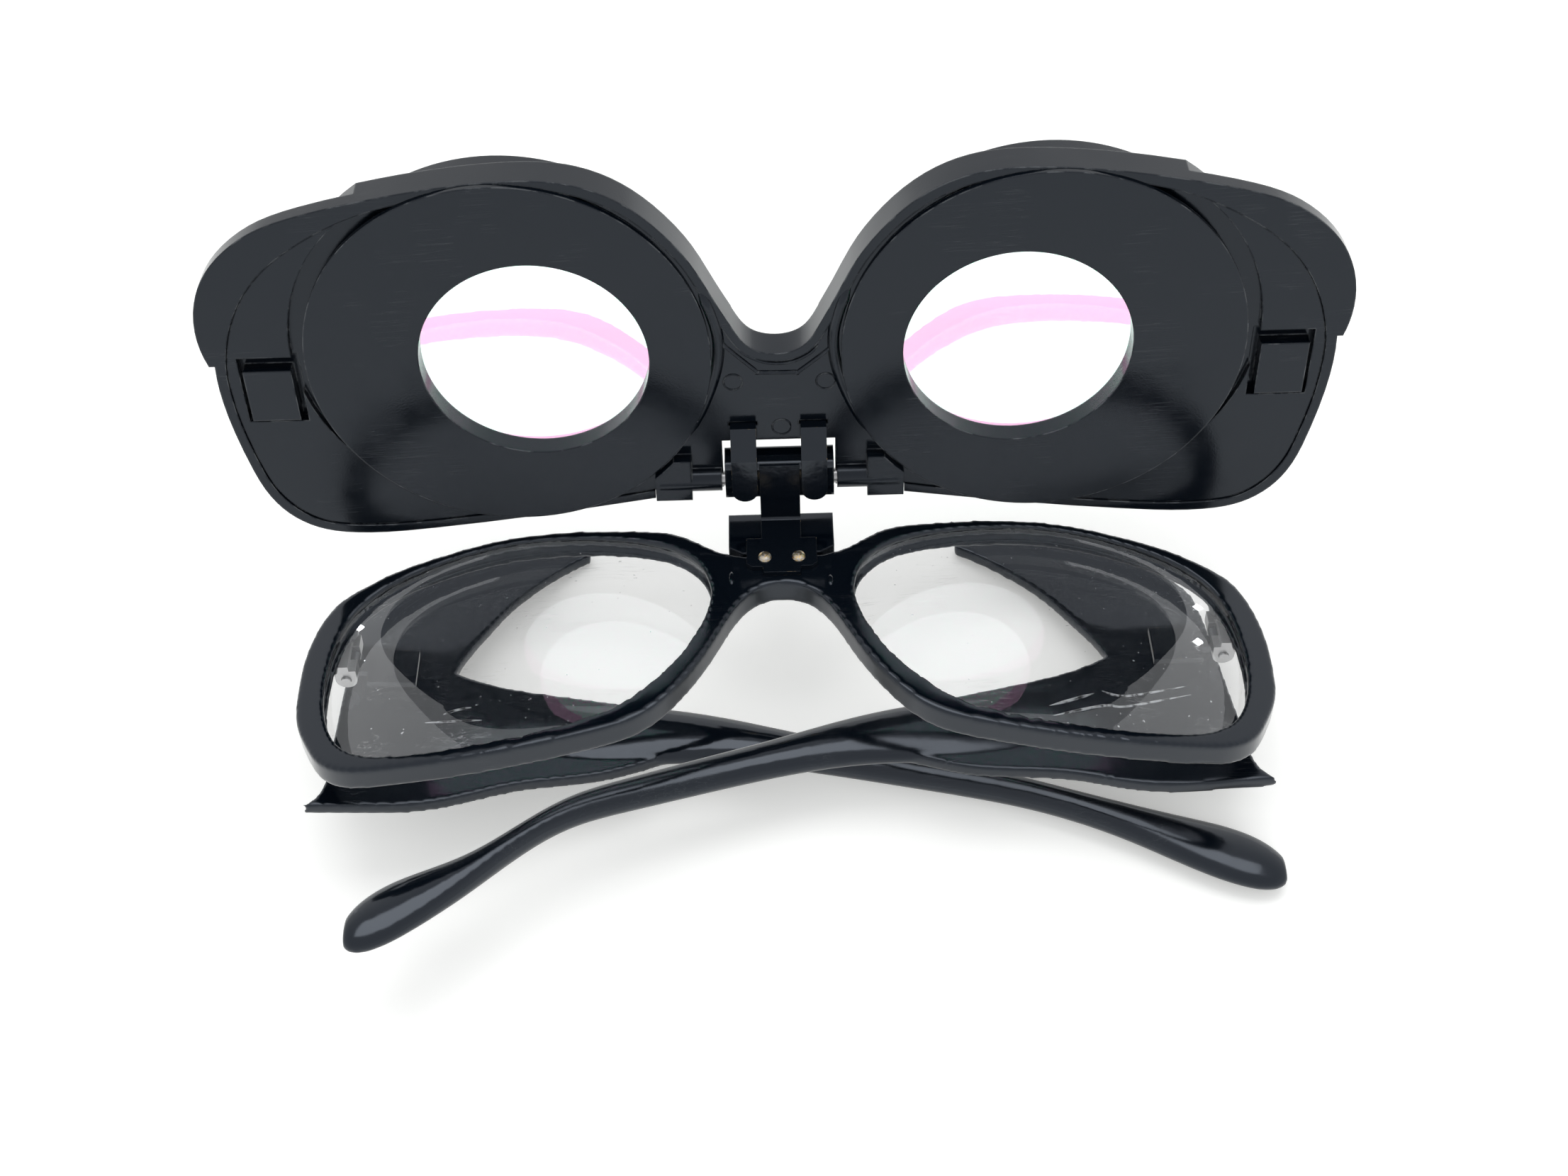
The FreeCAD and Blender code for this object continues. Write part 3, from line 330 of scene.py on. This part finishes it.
def coated_filter(name, side):
    """Filter glass whose coating reflects green light and passes the rest. Its shading leans a
    little, which turns its mirror image towards the nose; the glass itself lies flat. The two
    tints add up to more than the light that falls on the coating."""
    finish = Finish(name)
    across = FLIP_PLACE.col[0].xyz * -SIDES[side]
    upward = -FLIP_PLACE.col[1].xyz
    outward = FLIP_PLACE.col[2].xyz
    lean = across * math.tan(LEAN_TO_NOSE) - upward * math.tan(LEAN_DOWN)
    normal = finish.node("ShaderNodeTexCoord", output="Normal")
    facing = finish.node("ShaderNodeVectorMath", {"operation": "DOT_PRODUCT"},
                         {0: normal, 1: -outward}, output="Value")
    shift = finish.node("ShaderNodeVectorMath", {"operation": "SCALE"}, {0: lean, "Scale": facing})
    leaned = finish.node("ShaderNodeVectorMath", {"operation": "ADD"}, {0: normal, 1: shift})
    turned_normal = finish.node("ShaderNodeVectorTransform",
                                {"vector_type": "NORMAL", "convert_from": "OBJECT",
                                 "convert_to": "WORLD"}, {0: leaned})
    passed = finish.node("ShaderNodeBsdfTransparent", None, {"Color": colours().pass_tint})
    turned = finish.node("ShaderNodeBsdfAnisotropic", None,
                         {"Color": colours().turned_tint, "Roughness": 0.02,
                          "Normal": turned_normal})
    coated = finish.node("ShaderNodeAddShader", None, {0: passed, 1: turned})
    inside = finish.node("ShaderNodeNewGeometry", output="Backfacing")
    return finish.surface(finish.node("ShaderNodeMixShader", None,
                                      {0: inside, 1: coated, 2: passed}))


def rubber(name):
    finish = Finish(name)
    grain = finish.noise(4.0, 3.0)
    return finish.surface(finish.principled(Base_Color=RUBBER,
                                            Roughness=0.55 + 0.2 * grain,
                                            Normal=finish.bump(grain, 0.02 * MM)))


# ---------------------------------------------------------------- operators

def finish_nodes(material, *names):
    for name in names:
        for place in frame["nodes"][name].material_slots:
            place.material = material


def both(name):
    return ["%s_%s" % (name, side) for side in SIDES]


def add_object(name, data):
    made = bpy.data.objects.new(name, data)
    bpy.context.scene.collection.objects.link(made)
    return made


def stand_for(piece, node, body, material):
    """The piece is shown instead of a CAD node, on the same body and with the given finish."""
    piece.data.materials.clear()
    piece.data.materials.append(material)
    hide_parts(node)
    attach(piece, body)


ALL_SMOOTH = 180


def shade(mesh, degrees):
    """Smooth faces with sharp edges where the surface turns by more than the angle."""
    for face in mesh.polygons:
        face.use_smooth = True
    mesh.set_sharp_from_angle(angle=math.radians(degrees))


def mesh_of(build, name):
    mesh = bpy.data.meshes.new(name)
    build.to_mesh(mesh)
    build.free()
    return mesh


def rounded_copy(node, body, material, cell, passes, keep_sharp=None):
    """Even, edge-rounded skin over a CAD node, rounded less where keep_sharp gives a weight."""
    piece = add_object(node + "_moulding", frame["nodes"][node].data.copy())
    remesh = piece.modifiers.new("even", "REMESH")
    remesh.mode = "VOXEL"
    remesh.voxel_size = cell
    skin = baked_mesh(piece)
    soft = piece.vertex_groups.new(name="soft")
    for vertex in skin.vertices:
        weight = 1.0 if keep_sharp is None else 1.0 - keep_sharp(FRONT_PLACE.inverted() @ vertex.co)
        soft.add([vertex.index], weight, "REPLACE")
    smooth = piece.modifiers.new("round", "SMOOTH")
    smooth.factor = 0.5
    smooth.iterations = passes
    smooth.vertex_group = "soft"
    baked_mesh(piece)
    piece.vertex_groups.clear()
    shade(piece.data, ALL_SMOOTH)
    stand_for(piece, node, body, material)
    return piece


RIDGE_STEPS = 5
RIDGE_TAPER = 0.25
CIRCLE_SIDES = 10
PROFILE = ((-1.0, -0.2), (-0.62, 0.72), (0.0, 1.0), (0.62, 0.72), (1.0, -0.2))


def curve_through(points, steps):
    """Catmull-Rom samples through points, each a tuple of numbers."""
    rows = [Vector(point) for point in points]
    rows = [rows[0], *rows, rows[-1]]
    path = []
    for a, b, c, d in zip(rows, rows[1:], rows[2:], rows[3:]):
        for i in range(steps):
            t = i / steps
            path.append(0.5 * ((2 * b) + (c - a) * t + (2 * a - 5 * b + 4 * c - d) * t * t
                               + (3 * b - a - 3 * c + d) * t * t * t))
    return [*path, rows[-1]]


def ridge(build, points, half, rise, outward):
    """Domed ridge along points, with tapered ends."""
    path = curve_through(points, RIDGE_STEPS)
    rows = []
    for i, place in enumerate(path):
        ahead = path[min(i + 1, len(path) - 1)] - path[max(i - 1, 0)]
        side = ahead.cross(outward).normalized()
        full = min(1.0, RIDGE_TAPER * (1 + min(i, len(path) - 1 - i)))
        rows.append([build.verts.new(place + side * half * a * full + outward * rise * b * full)
                     for a, b in PROFILE])
    count = len(PROFILE)
    for first, second in zip(rows, rows[1:]):
        for k in range(count):
            after = (k + 1) % count
            build.faces.new((first[k], first[after], second[after], second[k]))
    build.faces.new(rows[0])
    build.faces.new(rows[-1])


def circle_points(x, y, z, radius):
    turns = [math.tau * i / CIRCLE_SIDES for i in range(CIRCLE_SIDES + 1)]
    return [(x + radius * math.cos(t), y + radius * math.sin(t), z) for t in turns]


def ridge_piece(name, body, material, place, outward, strands):
    """One piece made of several ridges; each strand is its points, half width and rise in mm."""
    build = bmesh.new()
    for points, half, rise in strands:
        ridge(build, points, half, rise, Vector(outward))
    bmesh.ops.recalc_face_normals(build, faces=build.faces)
    build.transform(place @ Matrix.Scale(MM, 4))
    piece = add_object(name, mesh_of(build, name))
    shade(piece.data, 60)
    piece.data.materials.append(material)
    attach(piece, body)


WEB_RADIUS, WEB_HOLE_RADIUS = 27.8, 20.0
WEB_LEVELS = (-0.6, -0.4)
WEB_SIDES = 72
HOLE_OFFSET = 3.6


def web_ring(build, x, y, level, radius):
    turns = [math.tau * i / WEB_SIDES for i in range(WEB_SIDES)]
    return [build.verts.new((x + radius * math.cos(t), y + radius * math.sin(t), level))
            for t in turns]


def disc_core(side, material):
    """Flat web inside the aperture disc, wider open than its sight hole. Mirror images show the
    web and not the disc, so the hole's own wall leaves no image in the filter lens."""
    disc = frame["nodes"]["aperture_disc_" + side]
    disc.visible_glossy = False
    places = [FLIP_PLACE.inverted() @ vertex.co / MM for vertex in disc.data.vertices]
    middle = [(min(p[i] for p in places) + max(p[i] for p in places)) / 2 for i in (0, 1)]
    hole_x = middle[0] + HOLE_OFFSET * -SIDES[side]
    build = bmesh.new()
    rings = []
    for level in WEB_LEVELS:
        for radius, x in ((WEB_RADIUS, middle[0]), (WEB_HOLE_RADIUS, hole_x)):
            rings.append(web_ring(build, x, middle[1], level, radius))
    low_outer, low_inner, high_outer, high_inner = rings
    for first, second in ((low_outer, low_inner), (low_inner, high_inner),
                          (high_inner, high_outer), (high_outer, low_outer)):
        for i in range(WEB_SIDES):
            after = (i + 1) % WEB_SIDES
            build.faces.new((first[i], first[after], second[after], second[i]))
    bmesh.ops.recalc_face_normals(build, faces=build.faces)
    build.transform(FLIP_PLACE @ Matrix.Scale(MM, 4))
    web = add_object("disc_core_" + side, mesh_of(build, "disc_core_" + side))
    web.data.materials.append(material)
    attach(web, "flip")


PLATE = 0.22
FLIP_RIDGES = [
    ([(-7.4, -24.4, PLATE), (-6.9, -23.4, PLATE), (-2.9, -19.2, PLATE), (-2.5, -18.9, PLATE),
      (2.7, -18.8, PLATE), (3.1, -18.9, PLATE), (7.6, -22.9, PLATE), (8.0, -24.2, PLATE)],
     0.3, 0.35),
    ([(-5.6, -23.4, PLATE), (-4.2, -22.0, PLATE), (-2.0, -20.8, PLATE), (0.3, -20.4, PLATE),
      (2.6, -20.8, PLATE), (4.7, -22.0, PLATE), (5.9, -23.4, PLATE)], 0.25, 0.3),
    (circle_points(-6.2, -17.3, PLATE, 1.35), 0.14, 0.12),
    (circle_points(6.9, -17.1, PLATE, 1.35), 0.14, 0.12),
    (circle_points(0.5, -9.1, PLATE, 1.35), 0.14, 0.12),
]
DISC_RIM = [(-10.2, -32.8), (-8.9, -29.4), (-8.0, -24.5), (-8.6, -19.0), (-11.0, -12.2),
            (-14.0, -6.9)]
NOSE_MARKS = [
    ([(-7.3, -1.9, -0.2), (-7.3, -3.3, -0.2), (-7.3, -4.7, -0.2)], 0.45, 0.3),
    ([(6.9, -3.0, -0.2), (6.9, -4.2, -0.2), (6.9, -5.4, -0.2)], 0.45, 0.3),
]
SHIELD_RIDGES = {
    "left": [
        ([(-52.7, -14.6, -16.95), (-48.6, -14.2, -17.35), (-44.5, -13.8, -17.65)], 0.22, 0.3),
        ([(-50.2, -12.9, -17.15), (-48.3, -12.0, -17.35), (-46.3, -11.4, -17.45)], 0.22, 0.3),
    ],
    "right": [
        ([(38.3, -15.2, -16.35), (41.8, -14.1, -16.35), (45.2, -13.0, -16.35)], 0.22, 0.3),
        ([(46.3, -12.6, -16.35), (49.8, -13.8, -16.35), (59.3, -12.2, -16.15)], 0.22, 0.3),
        ([(38.0, -17.3, -16.35), (46.0, -15.5, -16.35), (49.5, -15.8, -16.35),
          (59.1, -14.0, -16.15)], 0.22, 0.3),
    ],
}


def baked_mesh(piece):
    """Apply the piece's modifiers and return its new mesh."""
    bpy.context.view_layer.update()
    graph = bpy.context.evaluated_depsgraph_get()
    made = bpy.data.meshes.new_from_object(piece.evaluated_get(graph))
    piece.modifiers.clear()
    piece.data = made
    return made


def fitted_sphere(points):
    """Centre and radius of the sphere through points, by least squares."""
    rows = np.array([[2 * p.x, 2 * p.y, 2 * p.z, 1.0] for p in points])
    sums = np.array([p.length_squared for p in points])
    x, y, z, rest = np.linalg.lstsq(rows, sums, rcond=None)[0]
    centre = Vector((x, y, z))
    return centre, math.sqrt(rest + centre.length_squared)


FACE_SLOPE = 0.75
GRID_STEP = 1.2
# Each axis of the grid, with the number of cuts on either side of the bridge.
GRID = ((Vector((1, 0, 0)), 56), (Vector((0, 1, 0)), 30))


def face_vertices(build, facing):
    """Vertices of the lens's faces that look one way, once for each face they belong to."""
    return [v for f in build.faces if f.normal.z * facing > FACE_SLOPE for v in f.verts]


def fine_lens(side, material):
    """The clear lens with its CAD outline and truly spherical faces on a fine grid."""
    node = "clear_lens_" + side
    build = bmesh.new()
    build.from_mesh(frame["nodes"][node].data)
    build.transform(Matrix.Scale(1 / MM, 4) @ FRONT_PLACE.inverted())
    bmesh.ops.remove_doubles(build, verts=build.verts, dist=0.001)
    build.normal_update()
    spheres = []
    for facing in (1, -1):
        face_points = [v.co.copy() for v in face_vertices(build, facing)]
        spheres.append((facing, fitted_sphere(face_points)))
    for axis, count in GRID:
        for i in range(-count, count):
            everything = build.verts[:] + build.edges[:] + build.faces[:]
            bmesh.ops.bisect_plane(build, geom=everything, plane_co=axis * (i + 0.5) * GRID_STEP,
                                   plane_no=axis, dist=0.0005)
    build.normal_update()
    for facing, (centre, radius) in spheres:
        for vertex in set(face_vertices(build, facing)):
            vertex.co = centre + (vertex.co - centre).normalized() * radius
    build.transform(FRONT_PLACE @ Matrix.Scale(MM, 4))
    piece = add_object(node + "_sheet", mesh_of(build, node + "_sheet"))
    shade(piece.data, 30)
    bent_normals(piece.data, side)
    stand_for(piece, node, "front", material)


# Centre and radius, in mm, of the curve that each face is shaded with: 1 front, -1 back.
LENS_BENDS = {
    1: (Vector((4.4, -20.1, -146.1)), 148.0),
    -1: (Vector((-5.9, -30.4, -174.7)), 179.0),
}


def bent_normals(mesh, side):
    """Shade each face of the lens with the deeper curve of a moulded wrap-round lens."""
    to_front = Matrix.Scale(1 / MM, 4) @ FRONT_PLACE.inverted()
    turn = FRONT_PLACE.to_3x3()
    normals = []
    for face in mesh.polygons:
        out = (FRONT_AXES.to_3x3().transposed() @ face.normal).z
        for index in face.vertices:
            if abs(out) < FACE_SLOPE:
                normals.append(face.normal)
                continue
            facing = 1 if out > 0 else -1
            centre, radius = LENS_BENDS[facing]
            middle = Vector((centre.x * SIDES[side], centre.y, centre.z))
            normals.append(turn @ (to_front @ mesh.vertices[index].co - middle) * facing / radius)
    mesh.normals_split_custom_set([n.normalized() for n in normals])


CRISP_HOLD, CRISP_REACH, CRISP_FADE = 0.5, 2.2, 1.2


def near_opening(place):
    """How far the steps by the lens seats in the front frame are kept from being rounded."""
    x, y = abs(place.x) / MM, place.y / MM
    gap = min(math.dist((x, y), point) for point in LENS_SEAT)
    return CRISP_HOLD * max(0.0, min(1.0, (CRISP_REACH - gap) / CRISP_FADE))


# Outline of the right lens opening, in mm from the bridge, as the CAD source draws it. It
# doesn't follow a change of the frame's size.
LENS_SEAT = [(11.3, -1.2), (12.9, 1.2), (15.4, 3.4), (19, 5.1), (23.2, 6.2), (29.6, 7.2),
             (34, 7.6), (38.1, 7.7), (42.4, 7.4), (46.7, 6.7), (51, 5.6), (57.2, 3.3), (61, 0.7),
             (63, -1.7), (64.3, -4.7), (65.2, -8.3), (65.6, -12.4), (65.6, -16.5), (65.2, -20),
             (64.4, -23), (63.2, -25.7), (61.6, -27.8), (59.7, -29.2), (57.6, -30.1),
             (54.5, -30.7), (51, -31), (47.3, -31), (43.4, -30.8), (39.5, -30.4), (35.6, -29.9),
             (31.7, -29.2), (27.9, -28.2), (23.3, -26.3), (19.1, -22.9), (16, -19.5),
             (12.7, -14.1), (10.7, -8.8), (10.3, -6.3), (10.5, -3.8)]


FRAME_CELL, FRAME_PASSES = 0.28 * MM, 16
TEMPLE_CELL, TEMPLE_PASSES = 0.3 * MM, 8


class GOGGLES_OT_mouldings(bpy.types.Operator):
    """Finish the black mouldings"""

    bl_idname = "goggles.mouldings"
    bl_label = "Mouldings"

    def execute(self, context):
        gloss = moulded_plastic("gloss_moulding", shine=1.54, gloss=0.08, grain=0.002, wear=0.35)
        satin = moulded_plastic("satin_moulding", shine=1.44, gloss=0.13, grain=0.005, wear=1.0)
        finish_nodes(gloss, "bridge_block", "hinge_cam")
        rounded_copy("front_frame", "front", gloss, FRAME_CELL, FRAME_PASSES, near_opening)
        for side in SIDES:
            temple = rounded_copy("temple_" + side, "temple_" + side, gloss, TEMPLE_CELL,
                                  TEMPLE_PASSES)
            temple.visible_glossy = False
        finish_nodes(satin, "flip_back_plate", "flip_cover", *both("aperture_disc"),
                     *both("lens_ring"))
        rims = [([(x * -SIDES[side], y, PLATE) for x, y in DISC_RIM], 0.9, 0.9) for side in SIDES]
        ridge_piece("flip_ridges", "flip", satin, FLIP_PLACE, (0, 0, -1),
                    FLIP_RIDGES + rims)
        ridge_piece("nose_marks", "front", gloss, FRONT_PLACE, (0, 0, 1),
                    NOSE_MARKS)
        # The shield ridges get pale painted crests, partly rubbed wear and partly a painted
        # highlight.
        worn = ridge_wear_and_painted_highlight("ridge_wear_painted_highlight")
        for side in SIDES:
            disc_core(side, satin)
            ridge_piece("shield_ridges_" + side, "temple_" + side, worn,
                        FRONT_PLACE, (0, 0, 1), SHIELD_RIDGES[side])
        return {"FINISHED"}


class GOGGLES_OT_lenses(bpy.types.Operator):
    """Finish the clear lenses, filter lenses, cover glasses and gaskets"""

    bl_idname = "goggles.lenses"
    bl_label = "Lenses"

    def execute(self, context):
        sheet = clear_sheet("clear_lens", shine=1.64, marks=1.0)
        for side in SIDES:
            fine_lens(side, sheet)
        finish_nodes(clear_sheet("cover_glass", shine=1.3, marks=0.1), *both("cover_glass"))
        for side in SIDES:
            finish_nodes(coated_filter("filter_glass_" + side, side), "filter_lens_" + side)
        finish_nodes(rubber("gasket_rubber"), *both("lens_gaskets"))
        return {"FINISHED"}


class GOGGLES_OT_metal(bpy.types.Operator):
    """Finish the bracket, clip, rivets, pin, leaves and screws"""

    bl_idname = "goggles.metal"
    bl_label = "Metal parts"

    def execute(self, context):
        finish_nodes(coated_metal("coated_metal"), "hinge_bracket", "spring_clip",
                     *both("temple_hinge_leaf"))
        finish_nodes(rivet_metal("rivet_brass"), "rivets")
        finish_nodes(steel("plain_steel"), "hinge_pin", "backing_plate",
                     *both("front_hinge_leaf"), *both("hinge_screw"))
        return {"FINISHED"}


def area_lamp(name, place, target, width, height, power):
    data = bpy.data.lights.new(name, "AREA")
    data.shape = "RECTANGLE"
    data.size = width
    data.size_y = height
    data.energy = power
    lamp = add_object(name, data)
    lamp.location = place
    lamp.rotation_euler = (Vector(target) - Vector(place)).to_track_quat("-Z", "Y").to_euler()


TABLE_HALF = 3.0
TABLE_GLOW = (0.3, 0.3, 0.29)
WALL_LIGHT, CEILING_LIGHT = (1.0, 1.0, 1.0), (0.8, 0.8, 0.82)
ROOM_LIGHT = (0.8, 0.81, 0.82)


def light_paths(finish, *kinds):
    return [finish.node("ShaderNodeLightPath", output="Is %s Ray" % kind) for kind in kinds]


def make_floor():
    data = bpy.data.meshes.new("table")
    half = TABLE_HALF
    data.from_pydata([(-half, -half, 0), (half, -half, 0), (half, half, 0), (-half, half, 0)], [],
                     [(0, 1, 2, 3)])
    floor = add_object("table", data)
    finish = Finish("table_top")
    camera, glossy, transmission = light_paths(finish, "Camera", "Glossy", "Transmission")
    seen = (camera + glossy + transmission).clamped()
    glow = finish.mixed(seen, (0.0, 0.0, 0.0), TABLE_GLOW)
    grain = finish.noise(0.4, 2.0)
    data.materials.append(finish.surface(finish.principled(
        Base_Color=colours().floor, Roughness=0.6 + 0.1 * grain, Emission_Color=glow,
        Emission_Strength=1.0, Specular_IOR_Level=0.2)))


def make_world():
    world = bpy.data.worlds.new("studio")
    bpy.context.scene.world = world
    finish = Finish("studio", world)
    camera, transmission, glossy = light_paths(finish, "Camera", "Transmission", "Glossy")
    direction = finish.node("ShaderNodeTexCoord", output="Generated")
    height = finish.node("ShaderNodeSeparateXYZ", None, {0: direction}, output="Z")
    dim = finish.mixed(height.over(0.25, 0.85), WALL_LIGHT, CEILING_LIGHT)
    light = finish.mixed(glossy, ROOM_LIGHT, dim)
    colour = finish.mixed((camera + transmission).clamped(), light, WALL_LIGHT)
    finish.surface(finish.node("ShaderNodeBackground", None, {"Color": colour, "Strength": 1.0}))


# Camera: angles in radians, lens and sensor in mm, and the rest in mm from the bridge.
CAMERA_ELEVATION, CAMERA_ROLL = math.radians(45.5), math.radians(1.6)
CAMERA_DISTANCE = 313.0
AIM_RIGHT, AIM_UP = -0.3084, 4.0603
LENS_LENGTH, SENSOR_WIDTH = 49.557, 36.0


def make_camera():
    """Camera at the working distance, tilted down on the front and rolled a little."""
    view = Vector((0, math.cos(CAMERA_ELEVATION), -math.sin(CAMERA_ELEVATION)))
    level = Vector((1, 0, 0))
    above = level.cross(view)
    right = level * math.cos(CAMERA_ROLL) - above * math.sin(CAMERA_ROLL)
    up = level * math.sin(CAMERA_ROLL) + above * math.cos(CAMERA_ROLL)
    place = -view * CAMERA_DISTANCE - right * AIM_RIGHT - up * AIM_UP
    data = bpy.data.cameras.new("camera")
    data.sensor_width = SENSOR_WIDTH
    data.lens = LENS_LENGTH
    data.clip_start = 0.01
    camera = add_object("camera", data)
    turned = Matrix((right, up, -view)).transposed().to_4x4()
    camera.matrix_world = FRONT_PLACE @ Matrix.Translation(place * MM) @ turned
    bpy.context.scene.camera = camera


# Each lamp's name, place, target, width and height in metres, and power in watts.
LAMPS = (
    ("ceiling_lamp", (0.05, 0.35, 1.1), (0, 0, 0), 0.9, 0.6, 4.5),
    ("left_glint", (-0.575, 0.742, 0.088), (-0.05, 0, 0.02), 0.01, 0.016, 0.012),
    ("right_glint", (0.583, 0.732, 0.07), (0.05, 0, 0.02), 0.01, 0.016, 0.012),
)


class GOGGLES_OT_stage(bpy.types.Operator):
    """Set the floor, lamps, world and camera"""

    bl_idname = "goggles.stage"
    bl_label = "Stage"

    def execute(self, context):
        scene = context.scene
        scene.view_settings.view_transform = "Standard"
        make_floor()
        make_world()
        make_camera()
        for lamp in LAMPS:
            area_lamp(*lamp)
        return {"FINISHED"}


class GOGGLES_PT_panel(bpy.types.Panel):
    """Steps that finish the goggles"""

    bl_idname = "GOGGLES_PT_panel"
    bl_label = "Goggles"
    bl_space_type = "VIEW_3D"
    bl_region_type = "UI"
    bl_category = "Goggles"

    def draw(self, context):
        for group in (context.scene.goggles_sizes, context.scene.goggles_colours):
            for key in group.__annotations__:
                self.layout.prop(group, key)
        for step in STEPS:
            self.layout.operator(step.bl_idname)


STEPS = (GOGGLES_OT_mouldings, GOGGLES_OT_lenses, GOGGLES_OT_metal, GOGGLES_OT_stage)
CLASSES = (GogglesSizes, GogglesColours, *STEPS, GOGGLES_PT_panel)


def register():
    for item in CLASSES:
        bpy.utils.register_class(item)
    bpy.types.Scene.goggles_sizes = PointerProperty(type=GogglesSizes)
    bpy.types.Scene.goggles_colours = PointerProperty(type=GogglesColours)


def unregister():
    del bpy.types.Scene.goggles_colours
    del bpy.types.Scene.goggles_sizes
    for item in reversed(CLASSES):
        bpy.utils.unregister_class(item)


def main():
    register()
    for step in STEPS:
        group, action = step.bl_idname.split(".")
        getattr(getattr(bpy.ops, group), action)()


if __name__ == "__main__":
    main()
